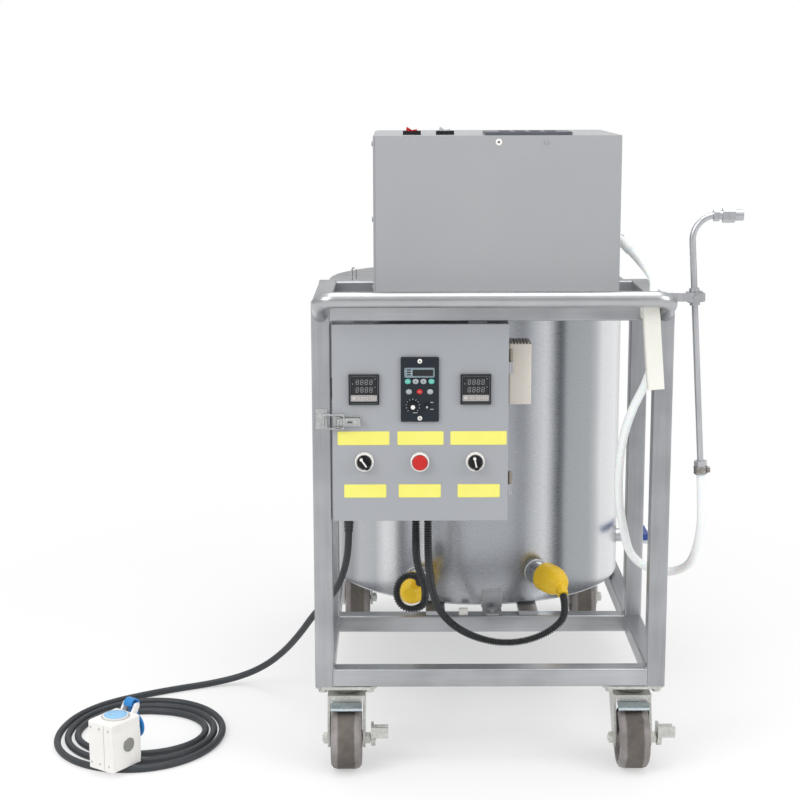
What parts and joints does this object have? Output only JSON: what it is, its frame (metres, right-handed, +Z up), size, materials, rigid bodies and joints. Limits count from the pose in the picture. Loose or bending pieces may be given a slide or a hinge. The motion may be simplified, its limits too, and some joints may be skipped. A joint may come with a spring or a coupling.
{
  "type": "wax melting and filling cart",
  "caption": "Rolling candle wax melter and filler: heated stirred tank, hinged control cabinet, pump housing, swivel dispensing lance with hose, push handle and supply cord",
  "frame": {"origin": "on the floor at the middle of the footprint of everything but the free cords, hoses and plug", "axes": "X to the operator's right as they face the control cabinet, Y from the push handle towards the tank, Z up"},
  "size_m": [1.133, 0.9415, 1.0435],
  "materials": {
    "frame_paint": "grey stoving enamel, satin",
    "cabinet_paint": "grey stoving enamel, satin",
    "housing_paint": "light grey stoving enamel, satin",
    "stainless": "brushed stainless sheet",
    "zinc": "zinc plated steel",
    "fork_zinc": "zinc plated pressings",
    "cast_brass": "machined brass",
    "tyre": "solid rubber tread on a cast core",
    "black_plastic": "fine-grained black moulding",
    "grey_plastic": "pale grey moulding",
    "ivory_plastic": "ivory extrusion",
    "cream_plastic": "cream moulding",
    "red_plastic": "red moulding",
    "yellow_plastic": "yellow moulding",
    "blue_plastic": "blue moulding",
    "white_plastic": "white moulding",
    "silicone": "translucent silicone hose",
    "black_rubber": "black sheath"
  },
  "bodies": {
    "cart": {"base_rails": "frame_paint", "posts": "frame_paint", "top_rails": "frame_paint", "push_handle": "zinc", "caster_plates": "fork_zinc", "tank_jacket": "stainless", "wax_pot": "stainless", "heaters": "stainless", "heater_caps": "yellow_plastic", "tank_mounts": "frame_paint", "drain_valve": "cast_brass", "tank_cover": "stainless", "mixer_motor": "black_plastic", "cabinet_body": "cabinet_paint", "door_hinges": "zinc", "latch_strike": "zinc", "breaker_box": "cream_plastic", "control_gear": "grey_plastic", "pump_housing": "housing_paint", "housing_covers": "white_plastic", "rocker_bezels": "black_plastic", "key_panel": "black_plastic", "dispensing_pump": "stainless", "lance_bracket": "zinc", "hose_guard": "ivory_plastic", "wax_hose": "silicone", "conduit_right": "black_rubber", "conduit_left": "black_rubber", "plug_body": "white_plastic", "power_cord": "black_rubber"},
    "fork_fl": {"fork_fl": "fork_zinc"},
    "wheel_fl": {"wheel_fl": "tyre"},
    "brake_fl": {"brake_fl": "fork_zinc"},
    "fork_fr": {"fork_fr": "fork_zinc"},
    "wheel_fr": {"wheel_fr": "tyre"},
    "brake_fr": {"brake_fr": "fork_zinc"},
    "fork_rl": {"fork_rl": "fork_zinc"},
    "wheel_rl": {"wheel_rl": "tyre"},
    "fork_rr": {"fork_rr": "fork_zinc"},
    "wheel_rr": {"wheel_rr": "tyre"},
    "door": {"cabinet_door": "cabinet_paint", "temp_controllers": "black_plastic", "speed_controller": "black_plastic", "switch_bezels": "zinc", "latch_base": "zinc"},
    "selector_left": {"selector_left": "black_plastic"},
    "selector_right": {"selector_right": "black_plastic"},
    "power_button": {"power_button": "red_plastic"},
    "speed_knob": {"speed_knob": "black_plastic"},
    "speed_toggle": {"speed_toggle": "zinc"},
    "latch_lever": {"latch_lever": "zinc"},
    "latch_bail": {"latch_bail": "zinc"},
    "loading_flap": {"loading_flap": "stainless"},
    "lid_clip": {"lid_clip": "zinc"},
    "valve_lever": {"valve_lever": "blue_plastic"},
    "mixer_shaft": {"mixer_shaft": "stainless"},
    "rocker_red": {"rocker_red": "red_plastic"},
    "rocker_pale": {"rocker_pale": "grey_plastic"},
    "lance": {"lance": "zinc"},
    "plug_flap": {"plug_flap": "blue_plastic"}
  },
  "joints": [
    {"name": "swivel_fl", "type": "hinge", "parent": "cart", "child": "fork_fl", "pos_m": [-0.287, -0.35325, 0.122], "axis": [0, 0, 1], "continuous": true},
    {"name": "roll_fl", "type": "hinge", "parent": "fork_fl", "child": "wheel_fl", "pos_m": [-0.287, -0.39125, 0.05], "axis": [1, 0, 0], "continuous": true},
    {"name": "brake_press_fl", "type": "hinge", "parent": "fork_fl", "child": "brake_fl", "pos_m": [-0.244, -0.39125, 0.05], "axis": [1, 0, 0], "range_deg": [0, 15]},
    {"name": "swivel_fr", "type": "hinge", "parent": "cart", "child": "fork_fr", "pos_m": [0.183, -0.35325, 0.122], "axis": [0, 0, 1], "continuous": true},
    {"name": "roll_fr", "type": "hinge", "parent": "fork_fr", "child": "wheel_fr", "pos_m": [0.183, -0.39125, 0.05], "axis": [1, 0, 0], "continuous": true},
    {"name": "brake_press_fr", "type": "hinge", "parent": "fork_fr", "child": "brake_fr", "pos_m": [0.226, -0.39125, 0.05], "axis": [1, 0, 0], "range_deg": [0, 15]},
    {"name": "swivel_rl", "type": "hinge", "parent": "cart", "child": "fork_rl", "pos_m": [-0.287, 0.41875, 0.122], "axis": [0, 0, 1], "continuous": true},
    {"name": "roll_rl", "type": "hinge", "parent": "fork_rl", "child": "wheel_rl", "pos_m": [-0.287, 0.38075, 0.05], "axis": [1, 0, 0], "continuous": true},
    {"name": "swivel_rr", "type": "hinge", "parent": "cart", "child": "fork_rr", "pos_m": [0.183, 0.41875, 0.122], "axis": [0, 0, 1], "continuous": true},
    {"name": "roll_rr", "type": "hinge", "parent": "fork_rr", "child": "wheel_rr", "pos_m": [0.183, 0.38075, 0.05], "axis": [1, 0, 0], "continuous": true},
    {"name": "door_swing", "type": "hinge", "parent": "cart", "child": "door", "pos_m": [-0.0225, -0.40025, 0.5815], "axis": [0, 0, 1], "range_deg": [0, 110]},
    {"name": "selector_left_turn", "type": "hinge", "parent": "door", "child": "selector_left", "pos_m": [-0.2545, -0.40825, 0.5205], "axis": [0, 1, 0], "range_deg": [-10, 80]},
    {"name": "selector_right_turn", "type": "hinge", "parent": "door", "child": "selector_right", "pos_m": [-0.0785, -0.40825, 0.5205], "axis": [0, 1, 0], "range_deg": [-33, 57]},
    {"name": "power_press", "type": "slide", "parent": "door", "child": "power_button", "axis": [0, 1, 0], "range_m": [0, 0.004], "stiffness_N_per_m": 400},
    {"name": "speed_turn", "type": "hinge", "parent": "door", "child": "speed_knob", "pos_m": [-0.1775, -0.41225, 0.611], "axis": [0, 1, 0], "range_deg": [0, 270]},
    {"name": "speed_flip", "type": "hinge", "parent": "door", "child": "speed_toggle", "pos_m": [-0.1555, -0.41125, 0.611], "axis": [1, 0, 0], "range_deg": [-10, 10]},
    {"name": "latch_throw", "type": "hinge", "parent": "door", "child": "latch_lever", "pos_m": [-0.2955, -0.41525, 0.586], "axis": [0, 0, -1], "range_deg": [0, 150]},
    {"name": "bail_swing", "type": "hinge", "parent": "latch_lever", "child": "latch_bail", "pos_m": [-0.2865, -0.41525, 0.586], "axis": [0, 0, -1], "range_deg": [-150, 0]},
    {"name": "flap_lift", "type": "hinge", "parent": "cart", "child": "loading_flap", "pos_m": [-0.052, 0.26075, 0.748], "axis": [1, 0, 0], "range_deg": [0, 95]},
    {"name": "clip_fold", "type": "hinge", "parent": "cart", "child": "lid_clip", "pos_m": [-0.2803, 0.01982, 0.748], "axis": [0.5948, -0.8039, 0], "range_deg": [0, 160]},
    {"name": "valve_turn", "type": "hinge", "parent": "cart", "child": "valve_lever", "pos_m": [0.269, 0.18875, 0.2573], "axis": [0, 0, 1], "range_deg": [0, 90]},
    {"name": "mixer_spin", "type": "hinge", "parent": "cart", "child": "mixer_shaft", "pos_m": [-0.052, 0.18875, 0.743], "axis": [0, 0, 1], "continuous": true},
    {"name": "rocker_red_tip", "type": "hinge", "parent": "cart", "child": "rocker_red", "pos_m": [-0.178, -0.34325, 1.035], "axis": [0, 1, 0], "range_deg": [-12, 0]},
    {"name": "rocker_pale_tip", "type": "hinge", "parent": "cart", "child": "rocker_pale", "pos_m": [-0.126, -0.34325, 1.035], "axis": [0, 1, 0], "range_deg": [-12, 0]},
    {"name": "lance_swivel", "type": "hinge", "parent": "cart", "child": "lance", "pos_m": [0.26522, -0.38825, 0.78], "axis": [-0.0643, 0, 0.9979], "range_deg": [-60, 60]},
    {"name": "socket_flap", "type": "hinge", "parent": "cart", "child": "plug_flap", "pos_m": [-0.64332, -0.37088, 0.102], "axis": [0.8161, -0.5779, 0], "range_deg": [0, 260]}
  ],
  "couplings": [
    {"joint": "bail_swing", "follows": "latch_throw", "ratio": -1}
  ]
}
